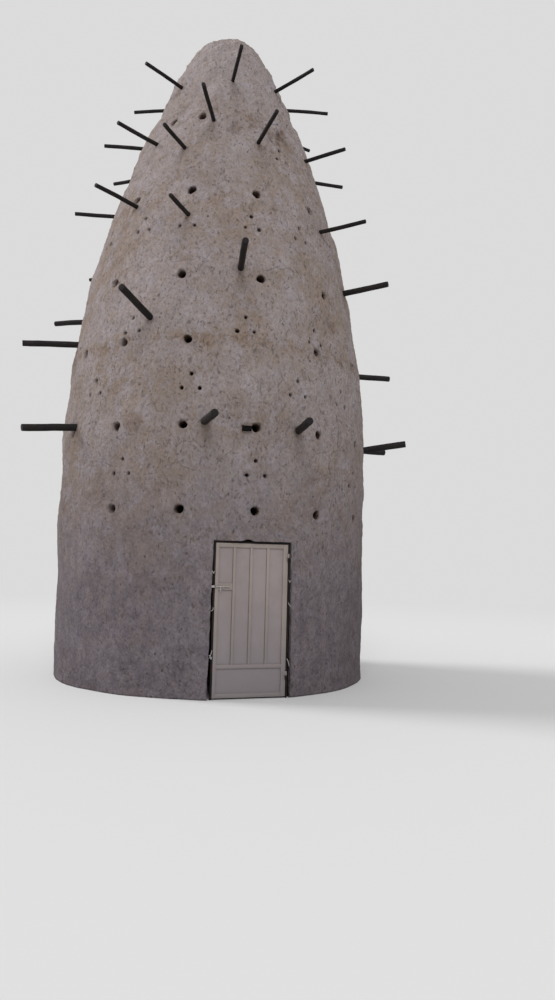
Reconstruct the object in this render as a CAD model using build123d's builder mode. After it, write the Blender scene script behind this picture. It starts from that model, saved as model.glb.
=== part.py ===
from build123d import *
import os
from math import acos, asin, atan, cos, degrees, pi, radians, sin, sqrt

# A hollow pigeon tower of coursed mud, 10.5 m tall, with timber perches and a steel door.
# Millimetres, +Z up. The origin is the tower's axis at ground level, and the door faces -Y.
# A bearing is an angle round the tower in degrees: 0 is the door, 90 is +X.

# Outline of the tower
base_radius = 2390
upright_height = 3050
belly_radius = 14700
nose_radius = 620
wall = 380
sides = 48

# Holes, cut with flat sides that come closest to round
entrance_width = 110
entrance_sides = 8
vent_width = 46
vent_sides = 4
vent_rise = 200
vent_spread = 3

# Perches
perch_seat = 240
perch_clearance = 0.3
perch_sides = 8

# Door opening and leaf
leaf_width = 990
leaf_height = 2000
leaf_depth = 40
ground_gap = 20
frame_gap = 6
door_setback = 55
top_rail = 55
bottom_rail = 56
left_stile = 45
right_stile = 65
middle_rail = 50
middle_rail_height = 375
sheet_thickness = 2
sheet_setback = 20
batten_width = 42
batten_setback = 4
lock_rail_height = 85

# Door frame and its lugs in the wall
jamb_width = 20
stop_width = 20
stop_thickness = 4
stop_gap = 5
masonry_gap_base = 35
masonry_gap_head = 15
head_gap = 24
lug_reach = 90
lug_height = 36
lug_thickness = 6
lug_heights = (500, 1150, 1550)
lug_clearance = 0.3

# Hinges
barrel_radius = 12
knuckle_length = 54
knuckle_gap = 1
hinge_plate_width = 40
hinge_plate_thickness = 5
pin_radius = 6
pin_clearance = 0.1
pin_engagement = 40
barrel_gap = 1
hinge_heights = (240, 1790)

# Slide bolt
bolt_height = 1450
rod_radius = 7
rod_length = 185
rod_tip_gap = 6
rod_standoff = 14
rod_clearance = 0.4
guide_width = 8
guide_places = (6, 104)
handle_place = 66
handle_width = 12
handle_drop = 62
handle_thickness = 6
keep_seat = 16
keep_overhang = 27
keep_clearance = 3

# Timber end left in the wall beside an entrance hole
stub_width = 125
stub_height = 70
stub_proud = 35
stub_seat = 150
stub_bearing = -3.4
stub_place = 3545

# Worked out from the sizes above
tangent_slope = acos((belly_radius - base_radius) / (belly_radius - nose_radius))
nose_centre = upright_height + (belly_radius - nose_radius) * sin(tangent_slope)
tower_height = nose_centre + nose_radius
facet = 360 / sides
door_face = door_setback - base_radius
leaf_top = ground_gap + leaf_height
frame_inside = leaf_width / 2 + frame_gap
frame_outside = frame_inside + jamb_width
frame_head = leaf_top + frame_gap
opening_head = frame_head + jamb_width + head_gap
stop_face = door_face + leaf_depth + stop_gap
hinge_x = leaf_width / 2 + frame_gap / 2
hinge_y = door_face - barrel_radius - barrel_gap
rod_y = door_face - rod_standoff
rod_tip = rod_tip_gap - leaf_width / 2
cut_start = 2 * wall
cut_length = 3 * wall

# Lifts of the wall: name, top, and the bearings of the upright joints, clear of the lift's holes.
# The foot is jointed under the side entrances, so that its pieces end flush there.
base_joints = (0, 96, 177, 264, 360)
lifts = [
    ("lift_1", 3300, (-57, 33, 84, 123, 213, 252, 303)),
    ("lift_2", 4520, (-33, 57, 147, 237, 327)),
    ("lift_3", 6250, (-57, 33, 123, 213, 303)),
    ("lift_4", 7560, (-33, 57, 147, 237, 327)),
    ("lift_5", 8760, (-57, 33, 123, 213, 303)),
]
crown_top = 9950
crown_joint = 75
cap_courses = (0, 0.27, 0.52, 0.74, 0.92)
quarters = ("front", "right", "back", "left")
sixths = ("front", "right_front", "right_back", "back", "left_back", "left_front")


def around(count, first, without=()):
    """Bearings of evenly spaced holes, less those that were never opened or were filled."""
    step = 360 / count
    return [first + step * i for i in range(count) if first + step * i not in without]


# Pigeon entrances: height, and the bearings of the holes in that tier
entrance_tiers = [
    (2450, around(15, 0, without=(288,))),
    (3570, around(15, 0)),
    (4760, around(15, 0, without=(0,))),
    (5720, around(12, 2)),
    (7090, around(12, 2)),
    (8480, [-50, -29, 62, 92, 122, 152, 182, 212, 242, 276]),
]

# Vents in threes, one hole above two: height of the upper hole, and the bearings of the threes
vent_tiers = [
    (3120, around(8, 0)),
    (4275, [-60, -22, 15, 37, 73, 109, 145, 181, 217, 259]),
    (5100, [-45, -4, 24, 60, 96, 132, 168, 204, 240, 278]),
    (6680, [-48, -28, -1, 22, 46, 70, 94, 118, 142, 166, 190, 214, 238, 262, 287]),
    (8050, [20, 56, 92, 128, 164, 200, 236, 272]),
]

# Perches by tier: diameter in the wall, then bearing, height, reach, swing and rise of each pole
perch_tiers = {
    "perches_tier_1": (100, [
        (-70, 3650, 805, -3, -7),
        (-17, 3615, 800, 14, -2),
        (15, 3590, 705, -23, 0),
        (65, 3590, 680, -3, 9),
        (92, 3770, 700, 0, 0),
        (122, 3640, 740, 3, 1),
        (151, 3610, 780, -4, 2),
        (180, 3600, 694, 0, 0),
        (210, 3650, 760, 5, -2),
    ]),
    "perches_tier_2": (90, [
        (-88, 5060, 825, -3, -4),
        (-38, 5080, 865, 4, 8),
        (84, 4980, 700, 0, 0),
        (138, 5050, 800, -3, 2),
        (172, 5010, 760, 2, -1),
        (208, 5090, 760, 0, 3),
    ]),
    "perches_tier_3": (85, [
        (-119, 5810, 840, 0, 0),
        (-6, 5830, 820, -5, 3),
        (54, 6020, 720, -6, 5),
        (124, 5900, 740, 2, -2),
        (168, 5950, 800, -3, 3),
        (196, 5850, 760, 4, 0),
    ]),
    "perches_tier_4": (60, [
        (-129, 6740, 700, 0, 0),
        (-102, 7400, 700, 0, 0),
        (-56, 6955, 780, 1, 1),
        (-28, 6660, 710, -2, -6),
        (39, 6840, 760, 0, -1),
        (127, 6850, 740, 2, 2),
        (161, 6760, 760, -2, 0),
        (195, 6900, 720, 0, 3),
    ]),
    "perches_tier_5": (58, [
        (-129, 8460, 840, 0, 0),
        (-101, 8590, 700, 0, 0),
        (-58, 8115, 750, 1, -1),
        (-35, 7850, 715, 0, -3),
        (-21, 8375, 820, -2, 2),
        (6, 8055, 795, -4, 2),
        (48, 8200, 700, -5, 2),
        (87, 8370, 700, 0, 0),
        (131, 8250, 760, 3, 1),
        (166, 8150, 740, -2, 2),
        (198, 8320, 780, 2, -1),
    ]),
    "perches_tier_6": (54, [
        (-115, 9450, 700, 0, 0),
        (-62, 9325, 730, 4, 1),
        (-9, 9245, 820, 4, 1),
        (40, 9410, 805, -8, 4),
        (76, 9460, 800, 0, 0),
        (105, 9250, 700, 0, 0),
        (151, 9360, 770, 3, 2),
        (196, 9300, 750, -3, 0),
    ]),
}


def wall_radius(height, depth=0):
    """Radius of the wall's face at a height, or of the surface at a depth inside it."""
    belly = belly_radius - depth
    if height <= upright_height:
        return base_radius - depth
    if height < upright_height + belly * sin(tangent_slope):
        return base_radius - belly_radius + sqrt(belly**2 - (height - upright_height) ** 2)
    return sqrt((nose_radius - depth) ** 2 - (height - nose_centre) ** 2)


def batter(bottom, top, depth=0):
    """Angle in degrees at which the wall leans in between two levels."""
    return degrees(atan((wall_radius(bottom, depth) - wall_radius(top, depth)) / (top - bottom)))


def outward(bearing, out, height, rise=0):
    """A plane that looks outwards along a bearing, at a distance from the axis."""
    turn = radians(bearing)
    tilt = radians(rise)
    return Plane(
        origin=(out * sin(turn), -out * cos(turn), height),
        x_dir=(cos(turn), sin(turn), 0),
        z_dir=(sin(turn) * cos(tilt), -cos(turn) * cos(tilt), sin(tilt)),
    )


def perch_plane(bearing, height, swing, rise):
    """The plane at the inner end of a pole that leaves the wall at a bearing and height."""
    mouth = outward(bearing, wall_radius(height), height).origin
    heading = outward(bearing + swing, 0, height, rise)
    return Plane(
        origin=mouth - heading.z_dir * perch_seat,
        x_dir=heading.x_dir,
        z_dir=heading.z_dir,
    )


def between(height, bottom, top):
    return bottom < height < top


def hollow_lift(bottom, top):
    """A ring of wall between two levels, with its entrances, vents and perch sockets."""
    entrances = [
        outward(bearing, wall_radius(height, cut_start), height)
        for height, bearings in entrance_tiers
        for bearing in bearings
        if between(height, bottom, top)
    ]
    vents = [
        outward(bearing + side * vent_spread, wall_radius(height, cut_start), height - drop)
        for height, bearings in vent_tiers
        for bearing in bearings
        for side, drop in ((0, 0), (-1, vent_rise), (1, vent_rise))
        if between(height, bottom, top)
    ]
    with BuildPart() as ring:
        with BuildSketch(Plane.XY.offset(bottom)):
            RegularPolygon(wall_radius(bottom), sides, major_radius=False, rotation=facet / 2)
        extrude(amount=top - bottom, taper=batter(bottom, top))
        with BuildSketch(Plane.XY.offset(bottom)):
            RegularPolygon(wall_radius(bottom, wall), sides, major_radius=False, rotation=facet / 2)
        extrude(amount=top - bottom, taper=batter(bottom, top, wall), mode=Mode.SUBTRACT)
        if entrances:
            with BuildSketch(*entrances):
                RegularPolygon(entrance_width / 2, entrance_sides, major_radius=False)
            extrude(amount=cut_length, clean=False, mode=Mode.SUBTRACT)
        if vents:
            with BuildSketch(*vents):
                RegularPolygon(vent_width / 2, vent_sides, major_radius=False)
            extrude(amount=cut_length, clean=False, mode=Mode.SUBTRACT)
        for diameter, poles in perch_tiers.values():
            sockets = [
                perch_plane(bearing, height, swing, rise)
                for bearing, height, reach, swing, rise in poles
                if between(height, bottom, top)
            ]
            if sockets:
                with BuildSketch(*sockets):
                    RegularPolygon(diameter / 2 + perch_clearance, perch_sides, major_radius=False)
                extrude(amount=perch_seat + wall, clean=False, mode=Mode.SUBTRACT)
        if between(stub_place, bottom, top):
            with BuildSketch(outward(stub_bearing, wall_radius(stub_place) - stub_seat, stub_place)):
                Rectangle(stub_width + 2 * perch_clearance, stub_height + 2 * perch_clearance)
            extrude(amount=2 * stub_seat, mode=Mode.SUBTRACT)
    return ring.part


def segment(ring, start, end):
    """The part of a ring between two bearings."""
    far = 2 * base_radius
    turns = [radians(start + (end - start) * share) for share in (0, 0.5, 1)]
    with BuildPart() as piece:
        add(ring)
        with BuildSketch():
            with BuildLine():
                Polyline((0, 0), *[(far * sin(t), -far * cos(t)) for t in turns], close=True)
            make_face()
        extrude(amount=tower_height, clean=False, mode=Mode.INTERSECT)
    return piece.part


def save(part, name):
    part.label = name
    export_step(part, f"parts/{name}.step")


os.makedirs("parts", exist_ok=True)

# Foot of the wall, open at the doorway, with sockets for the lugs of the door frame
with BuildPart() as base:
    add(hollow_lift(0, opening_head))
    with BuildSketch(Plane.XZ.offset(base_radius - cut_start)):
        with BuildLine():
            Polyline(
                (-frame_outside - masonry_gap_base, 0),
                (-frame_outside - masonry_gap_head, opening_head),
                (frame_outside + masonry_gap_head, opening_head),
                (frame_outside + masonry_gap_base, 0),
                close=True,
            )
        make_face()
    extrude(amount=cut_length, clean=False, mode=Mode.SUBTRACT)
    for lug in lug_heights:
        with Locations((0, stop_face + lug_thickness / 2, lug)):
            Box(
                2 * (frame_outside + lug_reach + lug_clearance),
                lug_thickness + 2 * lug_clearance,
                lug_height + 2 * lug_clearance,
                mode=Mode.SUBTRACT,
            )
base_names = ("base_front_right", "base_back_right", "base_back_left", "base_front_left")
for name, start, end in zip(base_names, base_joints, base_joints[1:]):
    save(segment(base.part, start, end), name)

# Lifts above the doorway, the lowest in six and the others in four, with the joints staggered
level = opening_head
for name, top, joints in lifts:
    ring = hollow_lift(level, top)
    places = quarters if len(joints) == 5 else sixths
    for place, start, end in zip(places, joints, joints[1:]):
        save(segment(ring, start, end), f"{name}_{place}")
    level = top

# Crown of the tower in two halves
crown = hollow_lift(level, crown_top)
save(segment(crown, crown_joint - 180, crown_joint), "crown_front")
save(segment(crown, crown_joint, crown_joint + 180), "crown_back")

# Domed cap, closed at the top, laid in courses that follow the curve
with BuildPart() as cap:
    for depth, mode in ((0, Mode.ADD), (wall, Mode.SUBTRACT)):
        rise = nose_radius - depth
        start = asin((crown_top - nose_centre) / rise)
        slopes = [start + (pi / 2 - start) * share for share in cap_courses]
        levels = [nose_centre + rise * sin(slope) for slope in slopes]
        for bottom, top in zip(levels, levels[1:]):
            with BuildSketch(Plane.XY.offset(bottom)):
                RegularPolygon(
                    wall_radius(bottom, depth), sides, major_radius=False, rotation=facet / 2
                )
            extrude(amount=top - bottom, taper=batter(bottom, top, depth), mode=mode)
save(cap.part, "cap")

# Perch poles, each in its own blind socket
for name, (diameter, poles) in perch_tiers.items():
    with BuildPart() as perches:
        for bearing, height, reach, swing, rise in poles:
            seat = perch_plane(bearing, height, swing, rise).offset(perch_clearance)
            with BuildSketch(seat):
                RegularPolygon(diameter / 2, perch_sides, major_radius=False)
            extrude(amount=perch_seat + reach - perch_clearance)
    save(perches.part, name)

# Sawn timber end beside an entrance
with BuildPart() as stub:
    mouth = wall_radius(stub_place)
    with BuildSketch(outward(stub_bearing, mouth - stub_seat + perch_clearance, stub_place)):
        Rectangle(stub_width, stub_height)
    extrude(amount=stub_seat + stub_proud - perch_clearance)
save(stub.part, "timber_end")

# Door frame: jambs and head with a stop behind the leaf, and lugs built into the wall
with BuildPart() as door_frame:
    with BuildSketch(Plane.XZ.offset(-stop_face)):
        with Locations((0, (frame_head + jamb_width) / 2)):
            Rectangle(2 * frame_outside, frame_head + jamb_width)
        with Locations((0, frame_head / 2)):
            Rectangle(2 * frame_inside, frame_head, mode=Mode.SUBTRACT)
    extrude(amount=stop_face - door_face)
    with BuildSketch(Plane.XZ.offset(-stop_face)):
        with Locations((0, (frame_head + jamb_width) / 2)):
            Rectangle(2 * frame_outside, frame_head + jamb_width)
        with Locations((0, (frame_head - stop_width) / 2)):
            Rectangle(
                2 * (frame_inside - stop_width), frame_head - stop_width, mode=Mode.SUBTRACT
            )
    extrude(amount=-stop_thickness)
    for side in (-1, 1):
        for lug in lug_heights:
            with Locations((side * (frame_outside + lug_reach / 2), stop_face, lug)):
                Box(
                    lug_reach,
                    lug_thickness,
                    lug_height,
                    align=(Align.CENTER, Align.MIN, Align.CENTER),
                )
            with Locations((side * (frame_outside - jamb_width / 2), stop_face, lug)):
                Box(
                    jamb_width,
                    lug_thickness,
                    lug_height,
                    align=(Align.CENTER, Align.MIN, Align.CENTER),
                )
save(door_frame.part, "door_frame")

# Leaf frame of steel tube, seen from outside with the hinges on the right
clear_left = left_stile - leaf_width / 2
clear_right = leaf_width / 2 - right_stile
clear_width = clear_right - clear_left
clear_middle = (clear_left + clear_right) / 2
upper_bottom = ground_gap + middle_rail_height + middle_rail
upper_top = leaf_top - top_rail
lower_bottom = ground_gap + bottom_rail
lower_top = ground_gap + middle_rail_height
panels = ((upper_bottom, upper_top), (lower_bottom, lower_top))

with BuildPart() as leaf_frame:
    with BuildSketch(Plane.XZ.offset(-door_face)):
        with Locations((0, ground_gap + leaf_height / 2)):
            Rectangle(leaf_width, leaf_height)
        for bottom, top in panels:
            with Locations((clear_middle, (bottom + top) / 2)):
                Rectangle(clear_width, top - bottom, mode=Mode.SUBTRACT)
    extrude(amount=-leaf_depth)
save(leaf_frame.part, "leaf_frame")

# Sheet infill, one panel above and one below the middle rail
with BuildPart() as leaf_sheets:
    with BuildSketch(Plane.XZ.offset(-door_face - sheet_setback)):
        for bottom, top in panels:
            with Locations((clear_middle, (bottom + top) / 2)):
                Rectangle(clear_width, top - bottom)
    extrude(amount=-sheet_thickness)
save(leaf_sheets.part, "leaf_sheets")

# Upright battens on the upper panel, and a short lock rail in the first bay
bay = (clear_width - 3 * batten_width) / 4
with BuildPart() as leaf_battens:
    with BuildSketch(Plane.XZ.offset(-door_face - batten_setback)):
        with Locations((clear_middle, (upper_bottom + upper_top) / 2)):
            with GridLocations(bay + batten_width, 1, 3, 1):
                Rectangle(batten_width, upper_top - upper_bottom)
    extrude(amount=batten_setback - sheet_setback)
save(leaf_battens.part, "leaf_battens")

with BuildPart() as lock_rail:
    with BuildSketch(Plane.XZ.offset(-door_face - sheet_setback)):
        with Locations((clear_left + bay / 2, bolt_height)):
            Rectangle(bay, lock_rail_height)
    extrude(amount=sheet_setback)
save(lock_rail.part, "lock_rail")


# Lower knuckles with their pins, welded to the jamb
with BuildPart() as hinge_pins:
    for height in hinge_heights:
        with BuildSketch(Plane.XY.offset(height)):
            with Locations((hinge_x, hinge_y)):
                Circle(barrel_radius)
            with Locations((hinge_x, door_face)):
                Rectangle(
                    frame_outside - hinge_x, hinge_plate_thickness, align=(Align.MIN, Align.MAX)
                )
        extrude(amount=knuckle_length)
        with BuildSketch(Plane.XY.offset(height + knuckle_length)):
            with Locations((hinge_x, hinge_y)):
                Circle(pin_radius)
        extrude(amount=knuckle_gap + pin_engagement)
save(hinge_pins.part, "hinge_pins")

# Upper knuckles, welded to the leaf, with blind bores over the pins
with BuildPart() as hinge_knuckles:
    for height in hinge_heights:
        bottom = height + knuckle_length + knuckle_gap
        with BuildSketch(Plane.XY.offset(bottom)):
            with Locations((hinge_x, hinge_y)):
                Circle(barrel_radius)
            with Locations((hinge_x, door_face)):
                Rectangle(
                    hinge_plate_width, hinge_plate_thickness, align=(Align.MAX, Align.MAX)
                )
        extrude(amount=knuckle_length)
        with BuildSketch(Plane.XY.offset(bottom)):
            with Locations((hinge_x, hinge_y)):
                Circle(pin_radius + pin_clearance)
        extrude(amount=pin_engagement + knuckle_gap, mode=Mode.SUBTRACT)
save(hinge_knuckles.part, "hinge_knuckles")

# Guides that carry the slide bolt on the lock rail and the left stile
with BuildPart() as bolt_guides:
    for place in guide_places:
        with BuildSketch(Plane.YZ.offset(place - leaf_width / 2)):
            with Locations((rod_y, bolt_height)):
                Rectangle(2 * rod_standoff, 2 * rod_standoff)
                Rectangle(
                    2 * (rod_radius + rod_clearance),
                    2 * (rod_radius + rod_clearance),
                    mode=Mode.SUBTRACT,
                )
        extrude(amount=guide_width)
save(bolt_guides.part, "bolt_guides")

# Slide bolt with its hanging handle, drawn back
with BuildPart() as slide_bolt:
    with BuildSketch(Plane.YZ.offset(rod_tip)):
        with Locations((rod_y, bolt_height)):
            Circle(rod_radius)
    extrude(amount=rod_length)
    with BuildSketch(Plane.XZ.offset(-rod_y - handle_thickness / 2)):
        with Locations((handle_place - leaf_width / 2, bolt_height)):
            Rectangle(handle_width, handle_drop, align=(Align.MIN, Align.MAX))
    extrude(amount=handle_thickness)
save(slide_bolt.part, "slide_bolt")

# Keep that the bolt enters: a short square tube on the jamb, standing out over the gap
with BuildPart() as bolt_keep:
    with BuildSketch(Plane.YZ.offset(-frame_outside - keep_overhang)):
        with Locations((rod_y, bolt_height)):
            Rectangle(2 * rod_standoff, 2 * rod_standoff)
            Rectangle(
                2 * (rod_radius + keep_clearance),
                2 * (rod_radius + keep_clearance),
                mode=Mode.SUBTRACT,
            )
    extrude(amount=keep_overhang + keep_seat)
save(bolt_keep.part, "bolt_keep")
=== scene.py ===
# A hollow mud pigeon tower with timber perches and a painted steel door.
# Metres, +Z up. The tower's axis stands at the origin and the door faces -Y.
# A bearing is an angle round the tower in degrees: 0 is the door, 90 is +X.

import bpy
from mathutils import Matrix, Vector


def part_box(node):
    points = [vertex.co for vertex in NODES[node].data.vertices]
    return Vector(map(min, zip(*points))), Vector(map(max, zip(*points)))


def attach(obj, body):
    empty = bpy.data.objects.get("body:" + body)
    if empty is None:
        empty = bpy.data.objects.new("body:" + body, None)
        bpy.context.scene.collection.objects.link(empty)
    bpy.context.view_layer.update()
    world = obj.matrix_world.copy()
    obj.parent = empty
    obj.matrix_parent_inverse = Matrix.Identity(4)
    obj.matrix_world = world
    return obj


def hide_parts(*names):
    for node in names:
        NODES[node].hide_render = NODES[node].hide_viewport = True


bl_info = {
    "name": "Mud Pigeon Tower",
    "version": (1, 0, 0),
    "blender": (4, 5, 0),
    "location": "3D View > Sidebar > Pigeon Tower",
    "description": "Dresses a mud pigeon tower, its perches and its steel door",
    "category": "Add Mesh",
}

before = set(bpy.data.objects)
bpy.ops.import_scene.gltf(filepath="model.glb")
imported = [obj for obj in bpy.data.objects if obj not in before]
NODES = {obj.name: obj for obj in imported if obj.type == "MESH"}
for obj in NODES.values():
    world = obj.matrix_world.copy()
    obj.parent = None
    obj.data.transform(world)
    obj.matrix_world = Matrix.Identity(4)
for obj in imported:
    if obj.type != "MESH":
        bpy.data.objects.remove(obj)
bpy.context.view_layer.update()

from functools import partialmethod
from math import acos, atan, cos, degrees, pi, radians, sin, sqrt, tan

import bmesh
import bpy
import numpy as np
from bpy.props import FloatProperty, FloatVectorProperty, IntProperty, PointerProperty
from bpy.types import Operator, Panel, PropertyGroup
from mathutils import Matrix, Vector, noise

POLE_SEAT = 0.24  # how deep a pole sits in the wall
PLUG_PAST = 0.12  # how far the tool of a hole goes on behind the wall
MOUTH = 0.1  # how far into a hole its sides still follow the wall's lean
SAME_PLACE = 1e-5  # corners closer than this are one corner
CRISP = radians(40)  # edges sharper than this stay sharp


def number(name, default, description, **more):
    return FloatProperty(name=name, description=description, default=default, **more)


def metres(*words):
    return number(*words, unit="LENGTH", precision=4)


def angle(*words):
    return number(*words, subtype="ANGLE")


def count(name, default, description):
    return IntProperty(name=name, description=description, default=default, min=1)


def tint(name, default, description):
    return FloatVectorProperty(
        name=name, description=description, default=default, size=3,
        subtype="COLOR_GAMMA", min=0, max=1,
    )


# Sizes and colours

class TowerSizes(PropertyGroup):
    base_radius: metres("Base radius", 2.39, "Outer radius of the upright foot of the wall")
    upright_height: metres("Upright height", 3.05, "Height at which the wall starts to lean in")
    belly_radius: metres("Belly radius", 14.7, "Radius of the long curve of the wall")
    nose_radius: metres("Nose radius", 0.62, "Radius of the rounded tip")
    wall: metres("Wall", 0.38, "Thickness of the mud wall")
    columns: count("Columns", 480, "Upright lines of the plaster mesh")
    pitch: metres("Pitch", 0.026, "Height of one row of the plaster mesh")
    inner_pitch: metres("Inner pitch", 0.12, "Height of one row of the inside face")
    wedges: count("Wedges", 16, "Equal wedges that the plaster mesh is copied from")
    lump_height: metres("Lumps", 0.036, "Height of the broad unevenness of the wall")
    dab_height: metres("Dabs", 0.016, "Height of the hand-laid dabs of plaster")
    grain_height: metres("Grain", 0.009, "Height of the small lumps in the plaster")
    shoulder: metres("Shoulder", 0.035, "Extra plaster low on the left of the door")
    nose_swell: metres("Nose swell", 0.07, "Extra plaster round the shoulder of the tip")


class HoleSizes(PropertyGroup):
    entrance_width: metres("Entrance width", 0.11, "Width of a pigeon's entrance")
    vent_width: metres("Vent width", 0.046, "Width of one small vent")
    vent_rise: metres("Vent rise", 0.2, "Height of the upper vent over the lower two")
    vent_spread: number("Vent spread", 3.0, "Degrees from the upper vent to each lower one")
    lip: metres("Lip", 0.018, "How far the worn mouth of an entrance widens")


class DoorSizes(PropertyGroup):
    frame_gap: metres("Frame gap", 0.006, "Gap between the leaf and its frame")
    jamb_width: metres("Jamb width", 0.02, "Width of the frame's jambs and head")
    masonry_gap_base: metres("Gap at the ground", 0.035, "Gap from the frame to the wall, low")
    masonry_gap_head: metres("Gap at the head", 0.002, "Gap from the frame to the wall, high")
    head_gap: metres("Gap over the head", 0.002, "Gap from the frame's head to the wall")
    top_rail: metres("Top rail", 0.055, "Height of the leaf's top rail")
    bottom_rail: metres("Bottom rail", 0.056, "Height of the leaf's bottom rail")
    left_stile: metres("Left stile", 0.045, "Width of the stile on the bolt's side")
    right_stile: metres("Right stile", 0.065, "Width of the stile on the hinges' side")
    middle_rail: metres("Middle rail", 0.05, "Height of the rail between the panels")
    middle_rail_height: metres("Middle rail height", 0.375, "From the leaf's foot to that rail")
    sheet_dent: metres("Sheet dents", 0.002, "Depth of the dents in the sheets")
    # Painted shadow: a dark strip stands for the shadow line beside each batten.
    joint_width: metres("Joint width", 0.0028, "Width of the dark joint beside each batten")
    edge_round: metres("Rounded edges", 0.0025, "Rounding of the steel tubes' edges")
    weld_radius: metres("Weld radius", 0.0028, "Radius of a weld bead")
    wire_radius: metres("Wire radius", 0.0045, "Radius of the bent anchor wires")


class TowerColours(PropertyGroup):
    plaster: tint("Plaster", (0.61, 0.57, 0.565), "Dry mud plaster")
    plaster_warm: tint("Warm plaster", (0.575, 0.52, 0.492), "Browner areas of the plaster")
    plaster_lilac: tint("Cool plaster", (0.625, 0.592, 0.606), "Smeared cooler areas")
    plaster_low: tint("Low plaster", (0.423, 0.394, 0.428), "Smooth, darker plaster by the ground")
    ochre: tint("Ochre", (0.50, 0.42, 0.345), "Clay that shows through, and run-off stains")
    # Painted shade: the dark in pits, cracks, the seam, crazing and the rims round hole mouths and
    # pole feet.
    pit: tint("Pits", (0.24, 0.21, 0.20), "Bottoms of pits and cracks")
    # Straw marks, and painted shade in the small hollows of the plaster.
    mark: tint("Marks", (0.36, 0.315, 0.30), "Straw marks and small hollows in the plaster")
    raw_mud: tint("Raw mud", (0.46, 0.35, 0.275), "Unplastered mud inside the wall")
    timber: tint("Timber", (0.095, 0.082, 0.085), "Weathered, near-black perch timber")
    timber_light: tint("Worn timber", (0.18, 0.15, 0.145), "Paler grain of the timber")
    door_paint: tint("Door paint", (0.548, 0.502, 0.477), "Cream paint of the door's tubes")
    sheet_paint: tint("Sheet paint", (0.54, 0.497, 0.497), "Duller paint of the door's sheets")
    door_dust: tint("Door dust", (0.48, 0.455, 0.465), "Dust low on the door")
    rust: tint("Rust", (0.26, 0.14, 0.09), "Rust at welds and chips")
    # Painted shadow: the colour of the dark strip beside each batten.
    joint: tint("Joints", (0.34, 0.305, 0.295), "Dirty joints beside the door's battens")
    # Partly painted shade: near-black so that the frame in the gap round the leaf shows as that
    # gap's shade.
    frame_steel: tint("Frame steel", (0.075, 0.065, 0.065), "Dark steel of the door frame")
    zinc: tint("Zinc", (0.66, 0.64, 0.64), "Zinc plate and the bolt")


class StageSettings(PropertyGroup):
    camera_place: FloatVectorProperty(
        name="Camera place", description="Where the camera stands", size=3,
        default=(-2.7588, -11.9602, 1.7915), subtype="TRANSLATION", unit="LENGTH",
    )
    heading: angle("Heading", -0.310144, "Turn of the camera about the upright axis")
    tilt: angle("Tilt", 0.0814654, "How far the camera looks up")
    roll: angle("Roll", 0.0252747, "Turn of the camera about its own line of sight")
    lens: number("Lens", 27.18, "Focal length in millimetres on a 36 mm long side")
    floor: tint("Floor", (0.86, 0.86, 0.86), "Pale studio floor and backdrop")
    floor_size: metres("Floor size", 400.0, "Side of the studio floor")
    fade_start: metres("Fade start", 6.0, "Distance at which the floor starts to fade")
    fade_end: metres("Fade end", 26.0, "Distance at which the floor meets the backdrop")
    fill: number("Fill", 0.66, "Strength of the even light from all round")
    key: number("Key light", 1.15, "Strength of the soft main light")
    rim: number("Side light", 1.6, "Strength of the light from behind on the left")


def tower():
    return bpy.context.scene.tower_sizes


def holes():
    return bpy.context.scene.hole_sizes


def door():
    return bpy.context.scene.door_sizes


def colours():
    return bpy.context.scene.tower_colours


# Outline of the wall

def tangent_slope():
    t = tower()
    return acos((t.belly_radius - t.base_radius) / (t.belly_radius - t.nose_radius))


def nose_centre():
    t = tower()
    return t.upright_height + (t.belly_radius - t.nose_radius) * sin(tangent_slope())


def wall_radius(height):
    """Radius of the wall's face at a height."""
    t = tower()
    rise = height - t.upright_height
    if rise <= 0:
        return t.base_radius
    if height < t.upright_height + t.belly_radius * sin(tangent_slope()):
        return t.base_radius - t.belly_radius + sqrt(t.belly_radius**2 - rise**2)
    return sqrt(t.nose_radius**2 - (height - nose_centre()) ** 2)


def wall_lean(height):
    """Angle at which the wall leans in at a height."""
    step = 0.01
    return atan((wall_radius(height - step) - wall_radius(height + step)) / (2 * step))


def radius_of(points):
    return np.hypot(points[:, 0], points[:, 1])


def bearings_of(points):
    return np.degrees(np.arctan2(points[:, 0], -points[:, 1]))


def turn_from(middle, bearings):
    """Turns of up to 180 degrees either way from a middle bearing."""
    return (bearings - middle + 180) % 360 - 180


def wall_place(points):
    """Depth of points inside the wall's smooth face, and the way out of the wall there."""
    t = tower()
    radius = radius_of(points)
    across = points[:, :2] / np.maximum(radius, 1e-6)[:, None]
    belly_x = t.base_radius - t.belly_radius
    slope = np.arctan2(points[:, 2] - t.upright_height, radius - belly_x)
    upright = slope <= 0
    nose = slope > tangent_slope()
    out_x = radius - np.where(nose, 0.0, belly_x)
    out_z = points[:, 2] - np.where(nose, nose_centre(), t.upright_height)
    reach = np.hypot(out_x, out_z)
    arc = np.where(nose, t.nose_radius, t.belly_radius)
    depth = np.where(upright, t.base_radius - radius, arc - reach)
    flat = np.where(upright, 1.0, out_x / reach)
    rise = np.where(upright, 0.0, out_z / reach)
    return depth, np.column_stack([across * flat[:, None], rise])


def outward(bearing, out, height):
    """Turns a shape that looks along +Z so that it looks out of the tower along a bearing."""
    turn = radians(bearing)
    heading = Vector((sin(turn), -cos(turn), 0))
    across = Vector((cos(turn), sin(turn), 0))
    place = Matrix((across, Vector((0, 0, 1)), heading)).transposed().to_4x4()
    place.translation = heading * out + Vector((0, 0, height))
    return place


# Where the holes and marks are: heights in metres, bearings in degrees

def around(number_of, first, without=None):
    step = 360 / number_of
    bearings = [first + step * i for i in range(number_of)]
    return [b for b in bearings if b != without]


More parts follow.
